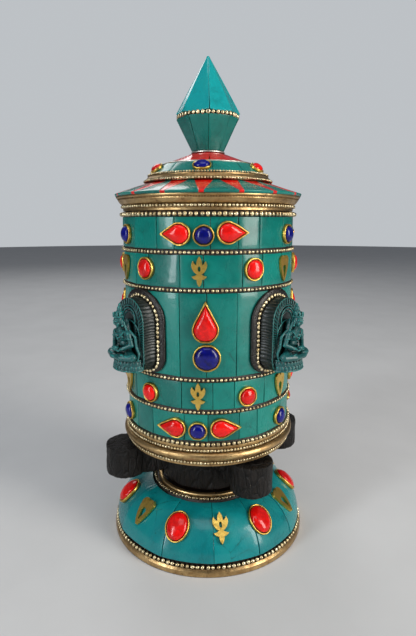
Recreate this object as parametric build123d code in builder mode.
"""Table-top prayer wheel: a weighted foot, a drum that turns on a steel spindle, and a lid that lifts off.

Frame: origin at the centre of the foot's underside, +Z up along the spindle, the front of the wheel towards -Y.
Angles around the wheel are measured from the front (-Y) towards +X, in degrees.
"""

from build123d import *
from math import acos, asin, cos, degrees, hypot, radians, sin
import os

os.makedirs("parts", exist_ok=True)

# ---------------------------------------------------------------------------------------------
# Driving dimensions, in millimetres
# ---------------------------------------------------------------------------------------------
TOUCH = 0.02  # sliver of air between an inlay and the surface that it is stuck to

# foot
FOOT_R = 49.4
FOOT_H = 3.6
FOOT_FLOOR_R = 44.5
FOOT_FLOOR_T = 1.6
FOOT_BEAD_R = 0.95
BASE_RIM = (48.4, 6.4)  # lower edge of the turquoise skirt: radius, height
BASE_NECK = (29.4, 25.0)  # upper edge of the turquoise skirt
BASE_BULGE = 4.5
BASE_TILE_T = 1.8
BASE_SHELL_T = 1.4
BASE_TILES = 12
CROWN_R = 27.8
CROWN_Z = 25.0
CROWN_T = 1.6
NECK_BEAD_R = 0.8
NECK_RING_R = (24.3, 26.1)
NECK_RING_Z = (26.2, 27.1)  # where its wall ends and how high its round top rises
BASE_FRONT_ANGLE = 8.0
BASE_STEP = 60.0
BASE_CROWDING = 5.0
BASE_OVAL = (4.9, 6.0)
BASE_OVAL_SPOT = 0.02  # how far up the skirt the ovals sit, from -1 at the rim to 1 at the neck
BASE_ORNAMENT_SPOT = 0.05

# spindle and bearings
SPINDLE_R = 4.0
SPINDLE_COLLAR_R = 10.0
SPINDLE_COLLAR_T = 1.6
SPINDLE_FOOT_Z = 16.0
RUN_CLEARANCE = 0.05
BUSH_WALL = 3.0
THRUST_T = 1.2
NUT_T = 5.0
NUT_ACROSS_FLATS = 13.0
UPPER_BUSH_RISE = 2.0
CAP_GAP = 0.3  # play between the upper bush and the cap nut
CAP_OVERHANG = 0.6

# turning cross
HUB_R = 23.5
LOBE_R = 10.0
# each lobe of the hand-cut cross: angle from the front, and reach of the lobe's centre
LOBE_PLACES = ((33.0, 37.0), (115.0, 43.5), (205.0, 40.0), (-73.0, 43.0))
LOBE_Z = (33.0, 48.4)
ARM_W = 13.0
LOBE_EDGE = 1.2
SCREWS = 4
SCREW_FIRST_ANGLE = 26.4
SCREW_R = 1.6
SCREW_PCD_R = 15.0
SCREW_DEPTH = 13.0

# drum
DRUM_R = 40.6  # outer face of the turquoise tiles
DRUM_Z = (49.9, 161.0)
TILE_T = 1.4
LAC_T = 0.5
SHELL_T = 1.0
FLOOR_T = 1.2
SEAM = 0.35
BAND_EDGES = (60.4, 75.2, 89.8, 128.5, 144.2, 159.7)  # centre heights of the bead rows between bands
BAND_NAMES = ("bottom", "lower", "middle", "upper", "top")
BAND_TILES = (20, 19, 19, 20, 21)
BAND_SHIFT = 1.7  # sets each band's seams off from the next one's
RIB_H = 2.3  # height of the dark strip that holds a bead row
BEAD_R = 0.6
BIG_BEAD_R = 1.0
MOULDING_R = 43.0
BRIDGE_Z = 152.0
BRIDGE_T = 1.5
BRIDGE_RIM_W = 4.0
BRIDGE_ARM_W = 9.0
MOULDING_WALL_R = 41.0
ROLL_Z = (52.9, 56.4)
CORE_R = (5.2, 6.4)
SCROLL_R = 34.0
SCROLL_AIR = (3.0, 4.0)  # room left under and over the scroll

# settings on the drum
BEZEL_H = 1.5
BEZEL_WALL = 0.75
STONE_GAP = 0.2
STONE_H = 3.0
ORNAMENT_T = 0.9
SET_ANGLE = {"top": -2.5, "bottom": -6.2}
SET_PITCH = 120.0
SINK = 1.6  # how far under the drum's face a setting's blank starts before it is cut to the curve
BASE_SINK = 2.0  # the same on the skirt
# the flanking drops of a set: round end's radius, tip's reach, and the angle between drop and centre stone
SET_DROP = {"top": (3.95, 7.4), "bottom": (3.85, 7.7)}
SET_ROUND = {"top": 3.55, "bottom": 3.35}
SINGLE_ROUND = 3.6
SET_HEIGHT = {"top": 151.6, "bottom": 67.3}
SET_SPREAD = 14.0
MIDDLE_DROP = (4.85, 10.7)
MIDDLE_DROP_Z = 111.9
MIDDLE_ROUND = 5.15
MIDDLE_ROUND_Z = 99.8
OVAL_ANGLES = {
    "upper": (-40.5, 28.0, 88.0, 147.0, 207.0, 266.0),
    "lower": (-39.0, 25.0, 90.0, 148.0, 206.0, 264.0),
}
OVAL_SIZE = {"upper": (3.75, 4.1), "lower": (3.6, 3.75)}
OVAL_HEIGHT = {"upper": 137.0, "lower": 81.4}
STONE_SHARE = 0.95  # size of an oval stone against the inside of its bezel
STONE_TOP_SHARE = 0.5  # size of a stone's flat top against its foot
ORNAMENT_ANGLE = {"upper": -5.0, "lower": -6.0}
ORNAMENT_HEIGHT = {"upper": 136.4, "lower": 82.5}
ORNAMENT_SIZE = 0.89  # drum cut-outs against the ones on the foot
MIDDLE_ANGLES = (-1.5, 88.5, 178.5, 268.5)

# figure panels
PANEL_ANGLES = (-46.5, 46.5, 133.5, 226.5)
PANEL_W = 27.5
PANEL_Z = (90.9, 127.9)
PANEL_PROUD = 1.2
INLAY_MARGIN = 2.2  # border left outside the row of inlaid beads, at the sides and head
INLAY_FOOT = 0.3  # the same at the foot
INLAY_W = 1.15
INLAY_PROUD = 0.7
PLAQUE_GAP = 0.2
PLAQUE_T = 5.0
FIGURE_DEPTH = 9.0
FIGURE_FOOT = 0.6  # back plate left under the figure
# the seated figure from the lotus seat up: each oval block's height, half width and share of the depth
FIGURE_BLOCKS = (
    (5.2, 9.0, 0.85), (5.0, 9.8, 1.0), (8.0, 4.6, 0.7), (2.6, 6.4, 0.7), (6.6, 3.1, 0.85), (2.6, 1.7, 0.75),
)
BLANK_BELOW = 8.0  # a panel's blank starts this far inside the shell and ends this far outside the border
BLANK_ABOVE = 4.0

# lid
SKIRT_DEPTH = 5.0
SKIRT_T = 1.0
CORNICE_WALL_R = 40.2
CORNICE_BEAD_RISE = 2.1
CORNICE_TOP = 168.2
CORNICE_R = 43.4
ROOF_R = 44.0
ROOF_TOP = (28.6, 174.0)
ROOF_TILE_T = 1.3
ROOF_WEDGES = 17
ROOF_FIRST_ANGLE = -3.5
ROOF_EDGE = (ROOF_R, CORNICE_TOP + 0.7)
WEDGE_TOP_W = 8.6
WEDGE_FOOT_W = 2.1
WEDGE_FOOT_LENGTH = 2.6
RIM_R = 29.9
DOME_EDGE = (27.3, 177.6)
DOME_SHOULDER = (21.5, 182.3)
DOME_TOP = (7.6, 187.6)
DOME_TILE_T = 1.2
DOME_TILES = 10
DOME_PETALS = 8
DOME_BEZEL_H = 1.1
DOME_STONE_H = 2.4
DOME_STONE_R = (3.3, 2.5)
DOME_STONE_SHARE = 0.93
RIM_STEP = 0.6  # the rim's top lies this far below the dome's edge
RIM_BEAD_R = 0.5
EDGE_BEAD_R = 0.45
WIRE_W = 0.5
LID_SHELL_T = 1.0
DOME_STONE_ANGLES = (-69.0, -6.0, 62.0, 120.0, 174.0, 231.0)

# finial
FINIAL_FOOT = (7.4, 188.5)
FINIAL_WAIST_R = 14.3
FINIAL_WAIST_Z = (202.7, 204.7)
FINIAL_TIP = (0.5, 230.2)
FINIAL_CORE_DEPTH = 1.6  # how far the wooden core lies under the face of the tiles
FINIAL_BEAD_PROUD = 0.6
FINIAL_LOWER_TILES = 9
FINIAL_UPPER_TILES = 8
STUD_R = 2.0
STUD_BELOW = 9.0
FINIAL_NUT_R = 4.0
FINIAL_NUT_T = 3.2


# ---------------------------------------------------------------------------------------------
# Helpers
# ---------------------------------------------------------------------------------------------
def meridian(angle=0.0):
    """The upright plane through the axis at an angle: local x runs outwards and local y runs up."""
    a = radians(angle)
    return Plane(origin=(0, 0, 0), x_dir=(sin(a), -cos(a), 0), z_dir=(-cos(a), -sin(a), 0))


def facing(angle, radius, height, lean=0.0):
    """The plane touching a surface at an angle, radius and height; lean tips its normal upwards."""
    a = radians(angle)
    out = (sin(a) * cos(radians(lean)), -cos(a) * cos(radians(lean)), sin(radians(lean)))
    return Plane(origin=(radius * sin(a), -radius * cos(a), height), x_dir=(cos(a), sin(a), 0), z_dir=out)


def save(part, name):
    """Label a finished piece and write it under its own name."""
    part.label = name
    export_step(part, f"parts/{name}.step")


def drop_face(round_r, tip_reach, turn, mode=Mode.ADD):
    """A teardrop with its round end on the sketch's origin and its tip towards the angle turn."""
    spread = degrees(acos(round_r / tip_reach))
    tip = Vector(tip_reach, 0).rotate(Axis.Z, turn)
    side_a = Vector(round_r, 0).rotate(Axis.Z, turn + spread)
    side_b = Vector(round_r, 0).rotate(Axis.Z, turn - spread)
    with BuildLine() as outline:
        Line(tip, side_a)
        ThreePointArc(side_a, Vector(-round_r, 0).rotate(Axis.Z, turn), side_b)
        Line(side_b, tip)
    make_face(outline.edges(), mode=mode)


def arch_face(width, low, high, mode=Mode.ADD):
    """A panel outline with a round head and generous lower corners, centred on the sketch's x = 0."""
    half = width / 2
    corner = half * 0.55
    inset = corner * (1 - sin(radians(45)))
    diagonal = half * sin(radians(45))
    with BuildLine() as outline:
        Line((0, low), (half - corner, low))
        ThreePointArc((half - corner, low), (half - inset, low + inset), (half, low + corner))
        Line((half, low + corner), (half, high - half))
        ThreePointArc((half, high - half), (diagonal, high - half + diagonal), (0, high))
        mirror(about=Plane.YZ)
    make_face(outline.edges(), mode=mode)


def cut_out(points, sags, size):
    """A cut-out that is the same on both sides of x = 0, its right edge a run of arcs from the top down."""
    with BuildLine() as outline:
        for start, end, sag in zip(points, points[1:], sags):
            SagittaArc(Vector(*start) * size, Vector(*end) * size, sag * size)
        mirror(about=Plane.YZ)
    make_face(outline.edges())


def flame_face(size=1.0):
    """A flame of three tongues with an oval opening, on a pointed stem with two side leaves, cut from sheet."""
    cut_out(
        ((0, 7.0), (1.3, 3.0), (2.9, 4.9), (2.9, 0.7), (1.0, -1.2), (3.5, -2.2), (1.2, -3.7), (0, -7.0)),
        (0.4, -0.3, 0.7, 0.25, -0.25, 0.35, 0.35), size,
    )
    with Locations((0, 1.3 * size)):
        Ellipse(0.7 * size, 1.3 * size, mode=Mode.SUBTRACT)


def leaf_face(size=1.0):
    """A heart-shaped leaf with its middle cut away."""
    cut_out(((0, 4.9), (2.2, 6.2), (4.1, 3.2), (0, -6.8)), (0.5, 0.7, 0.9), size)
    drop_face(1.5 * size, 5.0 * size, -90, mode=Mode.SUBTRACT)


def rounds(radius, low, high):
    """A plain disc between two heights, added to the part being built."""
    with BuildSketch(Plane.XY.offset(low)) as disc:
        Circle(radius)
    extrude(disc.sketch, amount=high - low)


def clear_drum(radius):
    """Take away everything of the part being built that lies inside a radius around the axis."""
    with BuildSketch(Plane.XY.offset(DRUM_Z[0])) as disc:
        Circle(radius)
    extrude(disc.sketch, amount=DRUM_Z[1] - DRUM_Z[0], mode=Mode.SUBTRACT)


def uneven(count, step):
    """Seam angles of a hand-cut band: a regular pitch with a gentle wander."""
    pitch = 360 / count
    return [pitch * (k + 0.16 * sin(step + 2.4 * k)) for k in range(count)]


def sectors(outline, count, step, radius, seam=SEAM):
    """Turn an outline into hand-cut tiles around the axis, with a seam between neighbours."""
    starts = uneven(count, step)
    gap = degrees(seam / radius)
    for start, end in zip(starts, starts[1:] + [starts[0] + 360]):
        with BuildSketch(meridian(start + gap / 2)) as section:
            with BuildLine():
                Polyline(*outline, close=True)
            make_face()
        revolve(section.sketch, axis=Axis.Z, revolution_arc=end - start - gap)


def ring(profile):
    """Turn a closed outline of (radius, height) points right round the axis."""
    with BuildSketch(meridian()) as section:
        with BuildLine():
            Polyline(*profile, close=True)
        make_face()
    revolve(section.sketch, axis=Axis.Z)


def bead_row(radius, height, bead_r):
    """A half-round wire that stands on a wall of the given radius; it carries the row of beads."""
    with BuildSketch(meridian()) as section:
        with BuildLine():
            Line((radius, height - bead_r), (radius, height + bead_r))
            ThreePointArc((radius, height + bead_r), (radius + bead_r, height), (radius, height - bead_r))
        make_face()
    revolve(section.sketch, axis=Axis.Z)


# ---------------------------------------------------------------------------------------------
# Foot
# ---------------------------------------------------------------------------------------------
chord = hypot(BASE_RIM[0] - BASE_NECK[0], BASE_RIM[1] - BASE_NECK[1])
skirt_r = (chord**2 / 4 + BASE_BULGE**2) / (2 * BASE_BULGE)
along = ((BASE_NECK[0] - BASE_RIM[0]) / chord, (BASE_NECK[1] - BASE_RIM[1]) / chord)
middle = ((BASE_RIM[0] + BASE_NECK[0]) / 2, (BASE_RIM[1] + BASE_NECK[1]) / 2)
skirt_centre = (middle[0] - along[1] * (skirt_r - BASE_BULGE), middle[1] + along[0] * (skirt_r - BASE_BULGE))
half_sweep = degrees(asin(chord / 2 / skirt_r))
mid_slope = degrees(asin(-along[0]))


def skirt(depth, part_way):
    """A point of the skirt's arc, a depth below its face; part_way runs from -1 at the rim to 1 at the neck."""
    a = radians(mid_slope + half_sweep * part_way)
    return (skirt_centre[0] + (skirt_r - depth) * cos(a), skirt_centre[1] + (skirt_r - depth) * sin(a))


def skirt_lean(part_way):
    """How far the skirt's face tips up, in degrees."""
    return mid_slope + half_sweep * part_way


def skirt_layer(outer, inner):
    """Outline of a layer of the skirt between two depths."""
    with BuildLine() as outline:
        ThreePointArc(skirt(outer, -1), skirt(outer, 0), skirt(outer, 1))
        Line(skirt(outer, 1), skirt(inner, 1))
        ThreePointArc(skirt(inner, 1), skirt(inner, 0), skirt(inner, -1))
        Line(skirt(inner, -1), skirt(outer, -1))
    make_face(outline.edges())


def clear_skirt():
    """Take away everything of the part being built that lies under the skirt's face."""
    with BuildSketch(meridian()) as section:
        with BuildLine():
            ThreePointArc(skirt(-TOUCH, -1), skirt(-TOUCH, 0), skirt(-TOUCH, 1))
            Polyline(skirt(-TOUCH, 1), (0, skirt(-TOUCH, 1)[1]), (0, 0), (BASE_RIM[0], 0), skirt(-TOUCH, -1))
        make_face()
    revolve(section.sketch, axis=Axis.Z, mode=Mode.SUBTRACT)


with BuildPart() as base_floor:
    rounds(FOOT_FLOOR_R, 0, FOOT_FLOOR_T)
save(base_floor.part, "base_floor")

with BuildPart() as foot_ring:
    ring([
        (FOOT_FLOOR_R, 0), (FOOT_R - 0.3, 0), (FOOT_R, 0.5), (FOOT_R - 0.1, 2.4),
        (FOOT_R - 0.8, FOOT_H), (FOOT_FLOOR_R, FOOT_H),
    ])
save(foot_ring.part, "foot_ring")

foot_bead_centre = FOOT_R - FOOT_BEAD_R - 0.25
with BuildPart() as foot_beads:
    with BuildSketch(meridian()):
        with Locations((foot_bead_centre, FOOT_H + FOOT_BEAD_R)):
            Circle(FOOT_BEAD_R)
    revolve(axis=Axis.Z)
save(foot_beads.part, "foot_beads")

base_wall_r = foot_bead_centre - FOOT_BEAD_R - 0.1
with BuildPart() as base_shell:
    with BuildSketch(meridian()):
        skirt_layer(BASE_TILE_T, BASE_TILE_T + BASE_SHELL_T)
    revolve(axis=Axis.Z)
    ring([
        (FOOT_FLOOR_R, FOOT_H), (base_wall_r - 0.3, FOOT_H), (base_wall_r - 0.3, skirt(BASE_TILE_T, -1)[1]),
        skirt(BASE_TILE_T, -1), skirt(BASE_TILE_T + BASE_SHELL_T, -1), (FOOT_FLOOR_R, FOOT_H + 1),
    ])
    ring([
        (SPINDLE_R, CROWN_Z - CROWN_T), (SPINDLE_R, CROWN_Z), (CROWN_R, CROWN_Z),
        skirt(BASE_TILE_T, 1), skirt(BASE_TILE_T + BASE_SHELL_T, 1), (CROWN_R - 3.0, CROWN_Z - CROWN_T),
    ])
save(base_shell.part, "base_shell")

with BuildPart() as base_tiles:
    tile_starts = uneven(BASE_TILES, 0.8)
    tile_gap = degrees(SEAM / BASE_RIM[0])
    for start, end in zip(tile_starts, tile_starts[1:] + [tile_starts[0] + 360]):
        with BuildSketch(meridian(start)):
            skirt_layer(0, BASE_TILE_T)
        revolve(axis=Axis.Z, revolution_arc=end - start - tile_gap)
save(base_tiles.part, "base_tiles")

with BuildPart() as neck_beads:
    with BuildSketch(meridian()):
        with Locations((CROWN_R, CROWN_Z + NECK_BEAD_R)):
            Circle(NECK_BEAD_R)
    revolve(axis=Axis.Z)
save(neck_beads.part, "neck_beads")

with BuildPart() as neck_ring:
    inner, outer = NECK_RING_R
    wall_top, crest = NECK_RING_Z
    with BuildSketch(meridian()):
        with BuildLine():
            Polyline((outer, wall_top), (outer, CROWN_Z), (inner, CROWN_Z), (inner, wall_top))
            ThreePointArc((inner, wall_top), ((inner + outer) / 2, crest), (outer, wall_top))
        make_face()
    revolve(axis=Axis.Z)
save(neck_ring.part, "neck_ring")

# six oval corals and six brass cut-outs take turns around the skirt, a little closer together at the front
def base_angle(turn):
    """Angle of a setting that sits a regular turn away from the front one."""
    return BASE_FRONT_ANGLE + turn - BASE_CROWDING * sin(radians(turn))


def base_place(turn, spot):
    """The plane touching the skirt at a regular turn and a spot between rim and neck."""
    return facing(base_angle(turn), *skirt(0, spot), skirt_lean(spot))


base_oval_places = [base_place(BASE_STEP * (k + 0.5), BASE_OVAL_SPOT) for k in range(6)]
base_ornament_places = [base_place(BASE_STEP * k, BASE_ORNAMENT_SPOT) for k in range(6)]

with BuildPart() as base_bezels:
    for place in base_oval_places:
        with BuildSketch(place.offset(-BASE_SINK)):
            Ellipse(BASE_OVAL[0] + BEZEL_WALL, BASE_OVAL[1] + BEZEL_WALL)
            Ellipse(*BASE_OVAL, mode=Mode.SUBTRACT)
        extrude(amount=BASE_SINK + BEZEL_H)
    clear_skirt()
save(base_bezels.part, "base_bezels")

with BuildPart() as base_corals:
    for place in base_oval_places:
        with BuildSketch(place.offset(-BASE_SINK)):
            Ellipse(BASE_OVAL[0] - STONE_GAP, BASE_OVAL[1] - STONE_GAP)
        with BuildSketch(place.offset(BEZEL_H)):
            Ellipse(BASE_OVAL[0] - STONE_GAP, BASE_OVAL[1] - STONE_GAP)
        with BuildSketch(place.offset(STONE_H)):
            Ellipse(BASE_OVAL[0] * 0.55, BASE_OVAL[1] * 0.55)
        loft(ruled=True)
    clear_skirt()
save(base_corals.part, "base_corals")

with BuildPart() as base_ornaments:
    for index, place in enumerate(base_ornament_places):
        with BuildSketch(place.offset(-BASE_SINK)):
            if index % 2:
                leaf_face()
            else:
                flame_face()
        extrude(amount=BASE_SINK + ORNAMENT_T)
    clear_skirt()
save(base_ornaments.part, "base_ornaments")

# ---------------------------------------------------------------------------------------------
# Spindle and its fastenings
# ---------------------------------------------------------------------------------------------
collar_top = CROWN_Z + SPINDLE_COLLAR_T
washer_top = collar_top + THRUST_T
hub_bottom = washer_top + RUN_CLEARANCE
bridge_top = BRIDGE_Z + BRIDGE_T
upper_bush_top = bridge_top + UPPER_BUSH_RISE
spindle_top = upper_bush_top + NUT_T - 0.8

with BuildPart() as spindle:
    rounds(SPINDLE_R, SPINDLE_FOOT_Z, spindle_top)
    rounds(SPINDLE_COLLAR_R, CROWN_Z, collar_top)
    chamfer(spindle.edges().sort_by(Axis.Z)[0], 0.6)
    chamfer(spindle.edges().sort_by(Axis.Z)[-1], 0.6)
save(spindle.part, "spindle")

with BuildPart() as spindle_nut:
    with BuildSketch(Plane.XY.offset(CROWN_Z - CROWN_T)):
        RegularPolygon(NUT_ACROSS_FLATS / 2, 6, major_radius=False)
        Circle(SPINDLE_R, mode=Mode.SUBTRACT)
    extrude(amount=-NUT_T)
save(spindle_nut.part, "spindle_nut")

with BuildPart() as thrust_washer:
    with BuildSketch(Plane.XY.offset(collar_top)):
        Circle(SPINDLE_COLLAR_R - 0.5)
        Circle(SPINDLE_R + RUN_CLEARANCE, mode=Mode.SUBTRACT)
    extrude(amount=THRUST_T)
save(thrust_washer.part, "thrust_washer")

with BuildPart() as cap_nut:
    with BuildSketch(Plane.XY.offset(upper_bush_top + CAP_GAP)):
        RegularPolygon(NUT_ACROSS_FLATS / 2, 6, major_radius=False)
    extrude(amount=NUT_T + CAP_OVERHANG)
    with BuildSketch(Plane.XY.offset(upper_bush_top + CAP_GAP)):
        Circle(SPINDLE_R)
    extrude(amount=spindle_top - upper_bush_top - CAP_GAP, mode=Mode.SUBTRACT)
    chamfer(cap_nut.faces().sort_by(Axis.Z)[-1].edges(), 1.0)
save(cap_nut.part, "cap_nut")

# ---------------------------------------------------------------------------------------------
# Turning cross and the drum's inside
# ---------------------------------------------------------------------------------------------
bush_r = SPINDLE_R + BUSH_WALL
floor_top = DRUM_Z[0] + FLOOR_T

with BuildPart() as turning_cross:
    rounds(HUB_R, hub_bottom, DRUM_Z[0])
    with BuildSketch(Plane.XY.offset(LOBE_Z[0])):
        for angle, reach in LOBE_PLACES:
            with PolarLocations(reach / 2, 1, start_angle=angle - 90):
                Rectangle(reach, ARM_W)
            with PolarLocations(reach, 1, start_angle=angle - 90):
                Circle(LOBE_R)
    extrude(amount=LOBE_Z[1] - LOBE_Z[0])
    rim_edges = turning_cross.faces().filter_by(Axis.Z).group_by(Axis.Z)[1].edges()
    fillet(rim_edges.filter_by(GeomType.CIRCLE).filter_by(lambda e: e.radius < LOBE_R + 0.1), LOBE_EDGE)
    with BuildSketch(Plane.XY.offset(hub_bottom)):
        Circle(bush_r)
    extrude(amount=DRUM_Z[0] - hub_bottom, mode=Mode.SUBTRACT)
    with BuildSketch(Plane.XY.offset(DRUM_Z[0])):
        with PolarLocations(SCREW_PCD_R, SCREWS, start_angle=SCREW_FIRST_ANGLE):
            Circle(SCREW_R)
    extrude(amount=-SCREW_DEPTH, mode=Mode.SUBTRACT)
save(turning_cross.part, "turning_cross")

with BuildPart() as lower_bush:
    with BuildSketch(Plane.XY.offset(hub_bottom)):
        Circle(bush_r)
        Circle(SPINDLE_R + RUN_CLEARANCE, mode=Mode.SUBTRACT)
    extrude(amount=DRUM_Z[0] - hub_bottom)
save(lower_bush.part, "lower_bush")

with BuildPart() as cross_screws:
    with BuildSketch(Plane.XY.offset(floor_top)):
        with PolarLocations(SCREW_PCD_R, SCREWS, start_angle=SCREW_FIRST_ANGLE):
            Circle(SCREW_R)
    extrude(amount=-SCREW_DEPTH - FLOOR_T + 1.0)
    with BuildSketch(Plane.XY.offset(floor_top)):
        with PolarLocations(SCREW_PCD_R, SCREWS, start_angle=SCREW_FIRST_ANGLE):
            Circle(SCREW_R * 2)
    extrude(amount=SCREW_R)
save(cross_screws.part, "cross_screws")

shell_r = DRUM_R - TILE_T - LAC_T
shell_in = shell_r - SHELL_T
with BuildPart() as drum_can:
    with BuildSketch(Plane.XY.offset(DRUM_Z[0])):
        Circle(shell_r)
        Circle(SPINDLE_R + 1.0, mode=Mode.SUBTRACT)
        with PolarLocations(SCREW_PCD_R, SCREWS, start_angle=SCREW_FIRST_ANGLE):
            Circle(SCREW_R, mode=Mode.SUBTRACT)
    extrude(amount=FLOOR_T)
    with BuildSketch(Plane.XY.offset(DRUM_Z[0])):
        Circle(shell_r)
        Circle(shell_in, mode=Mode.SUBTRACT)
    extrude(amount=DRUM_Z[1] - DRUM_Z[0])
save(drum_can.part, "drum_can")

with BuildPart() as core_tube:
    ring([(CORE_R[0], floor_top), (CORE_R[1], floor_top), (CORE_R[1], BRIDGE_Z), (CORE_R[0], BRIDGE_Z)])
save(core_tube.part, "core_tube")

scroll_low = floor_top + SCROLL_AIR[0]
scroll_high = BRIDGE_Z - SCROLL_AIR[1]
with BuildPart() as mantra_scroll:
    with BuildSketch(Plane.XY.offset(scroll_low)):
        Circle(SCROLL_R)
        Circle(CORE_R[1] + 0.1, mode=Mode.SUBTRACT)
    extrude(amount=scroll_high - scroll_low)
save(mantra_scroll.part, "mantra_scroll")

with BuildPart() as top_bridge:
    with BuildSketch(Plane.XY.offset(BRIDGE_Z)):
        Circle(shell_in)
        Circle(shell_in - BRIDGE_RIM_W, mode=Mode.SUBTRACT)
        with PolarLocations(0, 3, start_angle=30):
            with Locations(((shell_in - 1.0) / 2, 0)):
                Rectangle(shell_in - 1.0, BRIDGE_ARM_W)
        Circle(bush_r + BRIDGE_RIM_W)
        Circle(bush_r - 1.0, mode=Mode.SUBTRACT)
    extrude(amount=BRIDGE_T)
save(top_bridge.part, "top_bridge")

with BuildPart() as upper_bush:
    with BuildSketch(Plane.XY.offset(BRIDGE_Z)):
        Circle(bush_r - 1.0)
        Circle(SPINDLE_R + RUN_CLEARANCE, mode=Mode.SUBTRACT)
    extrude(amount=BRIDGE_T)
    with BuildSketch(Plane.XY.offset(bridge_top)):
        Circle(bush_r + 1.0)
        Circle(SPINDLE_R + RUN_CLEARANCE, mode=Mode.SUBTRACT)
    extrude(amount=upper_bush_top - bridge_top)
save(upper_bush.part, "upper_bush")

# ---------------------------------------------------------------------------------------------
# Drum face: lac bed, tile bands, bead rows and moulding
# ---------------------------------------------------------------------------------------------
lac_r = DRUM_R - TILE_T
rib_r = DRUM_R + 0.05
moulding_top = BAND_EDGES[0] - RIB_H / 2

with BuildPart() as drum_lac:
    bed = [(shell_r, moulding_top)]
    for edge in BAND_EDGES:
        high = min(edge + RIB_H / 2, DRUM_Z[1])
        bed += [(rib_r, edge - RIB_H / 2), (rib_r, high), (lac_r, high)]
        if edge != BAND_EDGES[-1]:
            bed += [(lac_r, BAND_EDGES[BAND_EDGES.index(edge) + 1] - RIB_H / 2)]
    ring(bed + [(shell_r, min(BAND_EDGES[-1] + RIB_H / 2, DRUM_Z[1]))])
save(drum_lac.part, "drum_lac")

for index, band in enumerate(BAND_NAMES):
    low = BAND_EDGES[index] + RIB_H / 2
    high = BAND_EDGES[index + 1] - RIB_H / 2
    with BuildPart() as band_tiles:
        outline = [(lac_r, low), (DRUM_R, low), (DRUM_R, high), (lac_r, high)]
        sectors(outline, BAND_TILES[index], index * BAND_SHIFT, DRUM_R)
    save(band_tiles.part, f"{band}_band_tiles")

with BuildPart() as divider_beads:
    for edge in BAND_EDGES[1:-1]:
        bead_row(rib_r, edge, BEAD_R)
save(divider_beads.part, "divider_beads")

with BuildPart() as big_bead_rows:
    for edge in (BAND_EDGES[0], BAND_EDGES[-1]):
        bead_row(rib_r, edge, BIG_BEAD_R)
save(big_bead_rows.part, "big_bead_rows")

small_bead_heights = ((DRUM_Z[0] + ROLL_Z[0]) / 2 + 0.2, ROLL_Z[1] + 1.0)
with BuildPart() as lower_moulding:
    with BuildSketch(meridian()):
        with BuildLine():
            Polyline(
                (MOULDING_WALL_R, ROLL_Z[0]), (MOULDING_WALL_R, DRUM_Z[0]), (shell_r, DRUM_Z[0]),
                (shell_r, moulding_top), (MOULDING_WALL_R, moulding_top), (MOULDING_WALL_R, ROLL_Z[1]),
            )
            ThreePointArc(
                (MOULDING_WALL_R, ROLL_Z[0]), (MOULDING_R, sum(ROLL_Z) / 2), (MOULDING_WALL_R, ROLL_Z[1])
            )
        make_face()
    revolve(axis=Axis.Z)
save(lower_moulding.part, "lower_moulding")

with BuildPart() as moulding_beads:
    for height in small_bead_heights:
        bead_row(MOULDING_WALL_R, height, BEAD_R)
save(moulding_beads.part, "moulding_beads")

# ---------------------------------------------------------------------------------------------
# Settings on the drum: bezels, corals and lapis
# ---------------------------------------------------------------------------------------------
face_r = DRUM_R + TOUCH

drops = []  # (place, round end's radius, tip's reach, direction of the tip)
blues = []  # (place, radius)
ovals = []  # (place, radii)
for band in ("top", "bottom"):
    for turn in (0, SET_PITCH, 2 * SET_PITCH):
        angle = SET_ANGLE[band] + turn
        height = SET_HEIGHT[band]
        blues.append((facing(angle, DRUM_R, height - 0.6), SET_ROUND[band]))
        blues.append((facing(angle + SET_PITCH / 2 + 1.0, DRUM_R, height - 0.4), SINGLE_ROUND))
        drops.append((facing(angle - SET_SPREAD, DRUM_R, height), *SET_DROP[band], 180))
        drops.append((facing(angle + SET_SPREAD, DRUM_R, height + 0.5), *SET_DROP[band], 0))

for angle in MIDDLE_ANGLES:
    drops.append((facing(angle, DRUM_R, MIDDLE_DROP_Z), *MIDDLE_DROP, 90))
    blues.append((facing(angle + 0.8, DRUM_R, MIDDLE_ROUND_Z), MIDDLE_ROUND))

for band, angles in OVAL_ANGLES.items():
    for angle in angles:
        ovals.append((facing(angle, DRUM_R, OVAL_HEIGHT[band]), OVAL_SIZE[band]))

with BuildPart() as drop_bezels:
    for place, round_r, reach, turn in drops:
        grow = (round_r + BEZEL_WALL) / round_r
        with BuildSketch(place.offset(-SINK)):
            drop_face(round_r * grow, reach * grow, turn)
            drop_face(round_r, reach, turn, mode=Mode.SUBTRACT)
        extrude(amount=SINK + BEZEL_H)
    clear_drum(face_r)
save(drop_bezels.part, "drop_bezels")

with BuildPart() as round_bezels:
    for place, radius in blues:
        with BuildSketch(place.offset(-SINK)):
            Circle(radius + BEZEL_WALL)
            Circle(radius, mode=Mode.SUBTRACT)
        extrude(amount=SINK + BEZEL_H)
    for place, radii in ovals:
        with BuildSketch(place.offset(-SINK)):
            Ellipse(radii[0] + BEZEL_WALL, radii[1] + BEZEL_WALL)
            Ellipse(*radii, mode=Mode.SUBTRACT)
        extrude(amount=SINK + BEZEL_H)
    clear_drum(face_r)
save(round_bezels.part, "round_bezels")

with BuildPart() as coral_drops:
    for place, round_r, reach, turn in drops:
        shrink = (round_r - STONE_GAP) / round_r
        for depth, share in ((-SINK, shrink), (BEZEL_H, shrink), (STONE_H, STONE_TOP_SHARE)):
            with BuildSketch(place.offset(depth)):
                drop_face(round_r * share, reach * share, turn)
        loft(ruled=True)
    clear_drum(face_r)
save(coral_drops.part, "coral_drops")

with BuildPart() as lapis_rounds:
    for place, radius in blues:
        foot = radius - STONE_GAP
        for depth, size in ((-SINK, foot), (BEZEL_H, foot), (STONE_H, radius * STONE_TOP_SHARE)):
            with BuildSketch(place.offset(depth)):
                Circle(size)
        loft(ruled=True)
    clear_drum(face_r)
save(lapis_rounds.part, "lapis_rounds")

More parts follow.
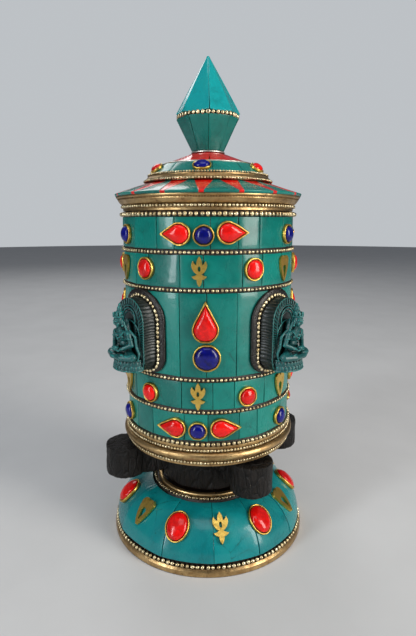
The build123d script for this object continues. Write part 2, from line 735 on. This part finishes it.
with BuildPart() as coral_ovals:
    for place, radii in ovals:
        for depth, share in ((-SINK, STONE_SHARE), (BEZEL_H, STONE_SHARE), (STONE_H, STONE_TOP_SHARE)):
            with BuildSketch(place.offset(depth)):
                Ellipse(radii[0] * share, radii[1] * share)
        loft(ruled=True)
    clear_drum(face_r)
save(coral_ovals.part, "coral_ovals")

with BuildPart() as drum_ornaments:
    for band in ("upper", "lower"):
        for k in range(6):
            place = facing(ORNAMENT_ANGLE[band] + 60 * k, DRUM_R, ORNAMENT_HEIGHT[band])
            with BuildSketch(place.offset(-SINK)):
                if k % 2:
                    leaf_face(ORNAMENT_SIZE)
                else:
                    flame_face(ORNAMENT_SIZE)
            extrude(amount=SINK + ORNAMENT_T)
    clear_drum(rib_r + TOUCH)
save(drum_ornaments.part, "drum_ornaments")

# ---------------------------------------------------------------------------------------------
# Figure panels: a lac border, its inlaid beads, and a plaque with a seated figure
# ---------------------------------------------------------------------------------------------
border_r = rib_r + PANEL_PROUD


def wrap(inner, outer, outlines):
    """Build panels on the drum: blanks pushed out through the wall, then turned down to two radii."""
    start = shell_r - BLANK_BELOW
    for angle in PANEL_ANGLES:
        with BuildSketch(facing(angle, start, 0)) as blank:
            outlines()
        extrude(blank.sketch, amount=border_r + BLANK_ABOVE - start)
    with BuildSketch(Plane.XY.offset(DRUM_Z[0])) as disc:
        Circle(outer)
    extrude(disc.sketch, amount=DRUM_Z[1] - DRUM_Z[0], mode=Mode.INTERSECT)
    clear_drum(inner)


def panel_arch(inset, foot, mode=Mode.ADD):
    """The panel's outline, drawn in at the sides and head, and by a different amount at the foot."""
    arch_face(PANEL_W - 2 * inset, PANEL_Z[0] + foot, PANEL_Z[1] - inset, mode=mode)


def border_outline():
    panel_arch(0, 0)


def inlay_outline():
    panel_arch(INLAY_MARGIN, INLAY_FOOT)
    panel_arch(INLAY_MARGIN + INLAY_W, INLAY_FOOT + INLAY_W, mode=Mode.SUBTRACT)


with BuildPart() as panel_borders:
    wrap(rib_r + TOUCH, border_r, border_outline)
save(panel_borders.part, "panel_borders")

with BuildPart() as panel_beads:
    wrap(border_r + TOUCH, border_r + INLAY_PROUD, inlay_outline)
save(panel_beads.part, "panel_beads")

plaque_face_r = border_r + INLAY_PROUD + PLAQUE_T
plaque_inset = INLAY_MARGIN + INLAY_W + PLAQUE_GAP
plaque_foot = INLAY_FOOT + INLAY_W + PLAQUE_GAP
seat_z = PANEL_Z[0] + plaque_foot + FIGURE_FOOT
with BuildPart() as figure_plaques:
    for angle in PANEL_ANGLES:
        block_z = seat_z
        for tall, half_width, depth in FIGURE_BLOCKS:
            face = facing(angle, plaque_face_r, block_z)
            with BuildSketch(Plane(origin=face.origin, x_dir=face.x_dir, z_dir=(0, 0, 1))):
                Ellipse(half_width, depth * FIGURE_DEPTH)
            extrude(amount=tall)
            block_z += tall
    clear_drum(border_r + INLAY_PROUD + 0.1)
    for angle in PANEL_ANGLES:
        with BuildSketch(facing(angle, shell_r, 0)):
            panel_arch(plaque_inset, plaque_foot)
        extrude(amount=plaque_face_r - shell_r)
    clear_drum(border_r + TOUCH)
save(figure_plaques.part, "figure_plaques")

# ---------------------------------------------------------------------------------------------
# Lid: cornice, roof and dome
# ---------------------------------------------------------------------------------------------
skirt_out = shell_in - RUN_CLEARANCE
cornice_bead_z = DRUM_Z[1] + CORNICE_BEAD_RISE
cornice_bed_r = CORNICE_WALL_R + 0.3
with BuildPart() as cornice:
    with BuildSketch(meridian()):
        with BuildLine():
            Polyline(
                (CORNICE_WALL_R, DRUM_Z[1]), (skirt_out, DRUM_Z[1]), (skirt_out, DRUM_Z[1] - SKIRT_DEPTH),
                (skirt_out - SKIRT_T, DRUM_Z[1] - SKIRT_DEPTH), (skirt_out - SKIRT_T, CORNICE_TOP - 1.2),
                (CORNICE_R - 2.5, CORNICE_TOP), (CORNICE_R - 0.4, CORNICE_TOP),
            )
            Spline(
                (CORNICE_R - 0.4, CORNICE_TOP), (CORNICE_R, CORNICE_TOP - 0.8),
                (CORNICE_R - 0.8, CORNICE_TOP - 2.2), (CORNICE_WALL_R + 1.2, cornice_bead_z + 1.3),
                (cornice_bed_r, cornice_bead_z + 0.7),
            )
            Polyline(
                (cornice_bed_r, cornice_bead_z + 0.7), (cornice_bed_r, cornice_bead_z - 0.7),
                (CORNICE_WALL_R, cornice_bead_z - 0.9), (CORNICE_WALL_R, DRUM_Z[1]),
            )
        make_face()
    revolve(axis=Axis.Z)
save(cornice.part, "cornice")

with BuildPart() as cornice_beads:
    bead_row(cornice_bed_r, cornice_bead_z, BEAD_R)
save(cornice_beads.part, "cornice_beads")


def slope_point(edge, top, share, depth):
    """A point part of the way up a straight roof slope, a depth below its face."""
    run = top[0] - edge[0]
    rise = top[1] - edge[1]
    length = hypot(run, rise)
    return (edge[0] + run * share - depth * rise / length, edge[1] + rise * share + depth * run / length)


def inner_corner(low, corner, high, depth):
    """Where the undersides of two sloping layers meet, below the corner between their faces."""
    rise_a, run_a = corner[1] - low[1], corner[0] - low[0]
    rise_b, run_b = high[1] - corner[1], high[0] - corner[0]
    length_a, length_b = hypot(run_a, rise_a), hypot(run_b, rise_b)
    normal = (rise_a / length_a + rise_b / length_b, -run_a / length_a - run_b / length_b)
    square = (normal[0] ** 2 + normal[1] ** 2) / 2
    return (corner[0] - depth * normal[0] / square, corner[1] - depth * normal[1] / square)


roof_under_edge = (CORNICE_R - 0.4, CORNICE_TOP)
roof_outline = [ROOF_EDGE, ROOF_TOP, slope_point(ROOF_EDGE, ROOF_TOP, 1, ROOF_TILE_T), roof_under_edge]

with BuildPart() as lid_shell:
    top = slope_point(ROOF_EDGE, ROOF_TOP, 1, ROOF_TILE_T)
    rim = (DOME_EDGE[0] - DOME_TILE_T, DOME_EDGE[1] - RIM_STEP)
    shoulder = inner_corner(DOME_EDGE, DOME_SHOULDER, DOME_TOP, DOME_TILE_T)
    crown = slope_point(DOME_SHOULDER, DOME_TOP, 1, DOME_TILE_T)
    ring([
        roof_under_edge, top, (rim[0], top[1]), rim, shoulder, crown, (STUD_R, crown[1]),
        (STUD_R, crown[1] - LID_SHELL_T), (crown[0], crown[1] - LID_SHELL_T),
        (shoulder[0] - 0.5, shoulder[1] - LID_SHELL_T), (rim[0] - LID_SHELL_T, rim[1] - 0.4),
        (rim[0] - LID_SHELL_T, top[1] - LID_SHELL_T), (CORNICE_R - 2.5, CORNICE_TOP),
    ])
save(lid_shell.part, "lid_shell")

# red wedges between the turquoise tiles: wide at the top, and ending in a small square at the edge
wedge_pitch = 360 / ROOF_WEDGES
wedge_angles = [ROOF_FIRST_ANGLE + wedge_pitch * k for k in range(ROOF_WEDGES)]


def wedge_prisms(widen, mode):
    """Upright prisms over the red wedges, added to or taken from the part being built."""
    foot_r = ROOF_R - WEDGE_FOOT_LENGTH
    half_top = WEDGE_TOP_W / 2 + widen
    half_foot = WEDGE_FOOT_W / 2 + widen
    for angle in wedge_angles:
        a = radians(angle)
        plan = Plane(origin=(0, 0, CORNICE_TOP - 1), x_dir=(sin(a), -cos(a), 0), z_dir=(0, 0, 1))
        with BuildSketch(plan) as blank:
            with BuildLine():
                Polyline(
                    (ROOF_TOP[0] - 2, -half_top), (foot_r, -half_foot), (ROOF_R + 2, -half_foot),
                    (ROOF_R + 2, half_foot), (foot_r, half_foot), (ROOF_TOP[0] - 2, half_top), close=True,
                )
            make_face()
        extrude(blank.sketch, amount=ROOF_TOP[1] - CORNICE_TOP + 3, mode=mode)


with BuildPart() as roof_tiles:
    ring(roof_outline)
    wedge_prisms(TOUCH, Mode.SUBTRACT)
save(roof_tiles.part, "roof_tiles")

with BuildPart() as roof_wedges:
    wedge_prisms(0, Mode.ADD)
    with BuildSketch(meridian()):
        with BuildLine():
            Polyline(*roof_outline, close=True)
        make_face()
    revolve(axis=Axis.Z, mode=Mode.INTERSECT)
save(roof_wedges.part, "roof_wedges")

rim_seat_r = DOME_EDGE[0] - DOME_TILE_T
rim_foot_z = ROOF_TOP[1] + TOUCH
rim_top_z = DOME_EDGE[1] - RIM_STEP
rim_wall_r = RIM_R - 0.4
with BuildPart() as dome_rim:
    ring([
        (rim_seat_r, rim_foot_z), (rim_wall_r, rim_foot_z), (rim_wall_r, rim_foot_z + 1.3),
        (RIM_R - 0.9, rim_foot_z + 1.9), (DOME_EDGE[0] + 1.2, rim_top_z - 0.5),
        (DOME_EDGE[0] + 1.1, rim_top_z), (rim_seat_r, rim_top_z),
    ])
save(dome_rim.part, "dome_rim")

with BuildPart() as dome_rim_beads:
    bead_row(rim_wall_r, rim_foot_z + 0.65, RIM_BEAD_R)
    with BuildSketch(meridian()):
        with Locations((DOME_EDGE[0] + 0.55, rim_top_z + EDGE_BEAD_R)):
            Circle(EDGE_BEAD_R)
    revolve(axis=Axis.Z)
save(dome_rim_beads.part, "dome_rim_beads")

wire_share = WIRE_W / hypot(DOME_SHOULDER[0] - DOME_TOP[0], DOME_SHOULDER[1] - DOME_TOP[1])
with BuildPart() as dome_tiles:
    sectors([DOME_EDGE, DOME_SHOULDER, shoulder, rim], DOME_TILES, 0.9, DOME_EDGE[0])
save(dome_tiles.part, "dome_tiles")

petal_edge = slope_point(DOME_SHOULDER, DOME_TOP, wire_share, 0)
petal_under = slope_point(DOME_SHOULDER, DOME_TOP, wire_share, DOME_TILE_T)
petal_foot = slope_point(DOME_SHOULDER, DOME_TOP, 1, DOME_TILE_T)
with BuildPart() as dome_petals:
    petal_middle_r = (petal_edge[0] + DOME_TOP[0]) / 2
    sectors([petal_edge, DOME_TOP, petal_foot, petal_under], DOME_PETALS, 0.3, petal_middle_r)
save(dome_petals.part, "dome_petals")

with BuildPart() as dome_wire:
    ring([
        DOME_SHOULDER, (DOME_SHOULDER[0] + 0.05, DOME_SHOULDER[1] + 0.35), (petal_edge[0], petal_edge[1] + 0.3),
        petal_edge, petal_under, shoulder,
    ])
save(dome_wire.part, "dome_wire")

dome_mid = slope_point(DOME_EDGE, DOME_SHOULDER, 0.45, 0)
dome_run = DOME_EDGE[0] - DOME_SHOULDER[0]
dome_lean = degrees(asin(dome_run / hypot(dome_run, DOME_EDGE[1] - DOME_SHOULDER[1])))
dome_places = [facing(angle, *dome_mid, dome_lean) for angle in DOME_STONE_ANGLES]


def clear_dome():
    """Take away everything of the part being built that lies under the dome's face."""
    with BuildSketch(meridian()) as section:
        with BuildLine():
            Polyline(
                (0, CORNICE_TOP), (DOME_EDGE[0] + TOUCH, CORNICE_TOP), (DOME_EDGE[0] + 1.0, DOME_EDGE[1] - 0.1),
                (DOME_EDGE[0] + 0.5, DOME_EDGE[1] + 0.4), slope_point(DOME_EDGE, DOME_SHOULDER, 0.15, -TOUCH),
                slope_point(DOME_EDGE, DOME_SHOULDER, 1, -TOUCH), (DOME_SHOULDER[0], DOME_SHOULDER[1] + 0.45),
                slope_point(DOME_SHOULDER, DOME_TOP, 0.2, -TOUCH), (0, DOME_TOP[1]), close=True,
            )
        make_face()
    revolve(section.sketch, axis=Axis.Z, mode=Mode.SUBTRACT)


with BuildPart() as dome_bezels:
    for place in dome_places:
        with BuildSketch(place.offset(-SINK)):
            Ellipse(DOME_STONE_R[0] + BEZEL_WALL, DOME_STONE_R[1] + BEZEL_WALL)
            Ellipse(*DOME_STONE_R, mode=Mode.SUBTRACT)
        extrude(amount=SINK + DOME_BEZEL_H)
    clear_dome()
save(dome_bezels.part, "dome_bezels")


def dome_stones(places):
    """Low cabochons for some of the dome's settings."""
    for place in places:
        levels = []
        for depth, share in (
            (-SINK, DOME_STONE_SHARE), (DOME_BEZEL_H, DOME_STONE_SHARE), (DOME_STONE_H, STONE_TOP_SHARE),
        ):
            with BuildSketch(place.offset(depth)) as level:
                Ellipse(DOME_STONE_R[0] * share, DOME_STONE_R[1] * share)
            levels.append(level.sketch)
        loft(levels, ruled=True)
    clear_dome()


with BuildPart() as dome_corals:
    dome_stones(dome_places[0::2])
save(dome_corals.part, "dome_corals")

with BuildPart() as dome_lapis:
    dome_stones(dome_places[1::2])
save(dome_lapis.part, "dome_lapis")

# ---------------------------------------------------------------------------------------------
# Finial
# ---------------------------------------------------------------------------------------------
core_foot = (FINIAL_FOOT[0] - FINIAL_CORE_DEPTH, FINIAL_FOOT[1])
core_low = (FINIAL_WAIST_R - FINIAL_CORE_DEPTH, FINIAL_WAIST_Z[0])
core_high = (FINIAL_WAIST_R - FINIAL_CORE_DEPTH, FINIAL_WAIST_Z[1])
core_tip = (FINIAL_TIP[0], FINIAL_TIP[1] - FINIAL_CORE_DEPTH - 1.0)
stud_low = DOME_TOP[1] - STUD_BELOW
collar_r = DOME_TOP[0] + 0.3
collar_foot_z = DOME_TOP[1] - DOME_TILE_T + 0.2

with BuildPart() as finial_collar:
    ring([
        (STUD_R, collar_foot_z), (FINIAL_FOOT[0] - 0.2, collar_foot_z), (FINIAL_FOOT[0] - 0.2, DOME_TOP[1]),
        (collar_r, DOME_TOP[1] + 0.1), (collar_r, FINIAL_FOOT[1] - 0.2), FINIAL_FOOT, (STUD_R, FINIAL_FOOT[1]),
    ])
save(finial_collar.part, "finial_collar")

with BuildPart() as finial_core:
    ring([
        (0, stud_low), (STUD_R, stud_low), (STUD_R, core_foot[1]), core_foot, core_low, core_high, core_tip,
        (0, core_tip[1]),
    ])
save(finial_core.part, "finial_core")

finial_low_edge = (FINIAL_WAIST_R, FINIAL_WAIST_Z[0])
finial_high_edge = (FINIAL_WAIST_R, FINIAL_WAIST_Z[1])
with BuildPart() as finial_lower_tiles:
    sectors([FINIAL_FOOT, finial_low_edge, core_low, core_foot], FINIAL_LOWER_TILES, 0.2, FINIAL_WAIST_R)
save(finial_lower_tiles.part, "finial_lower_tiles")

with BuildPart() as finial_upper_tiles:
    sectors([finial_high_edge, FINIAL_TIP, core_tip, core_high], FINIAL_UPPER_TILES, 0.4, FINIAL_WAIST_R)
save(finial_upper_tiles.part, "finial_upper_tiles")

bead_reach = FINIAL_WAIST_R + FINIAL_BEAD_PROUD
with BuildPart() as finial_beads:
    ring([
        core_low, (FINIAL_WAIST_R - 0.1, FINIAL_WAIST_Z[0]), (bead_reach, FINIAL_WAIST_Z[0] + 0.5),
        (bead_reach, FINIAL_WAIST_Z[1] - 0.5), (FINIAL_WAIST_R - 0.1, FINIAL_WAIST_Z[1]), core_high,
    ])
save(finial_beads.part, "finial_beads")

finial_nut_top = crown[1] - LID_SHELL_T
with BuildPart() as finial_nut:
    with BuildSketch(Plane.XY.offset(finial_nut_top)):
        RegularPolygon(FINIAL_NUT_R, 6, major_radius=False)
        Circle(STUD_R, mode=Mode.SUBTRACT)
    extrude(amount=-FINIAL_NUT_T)
save(finial_nut.part, "finial_nut")
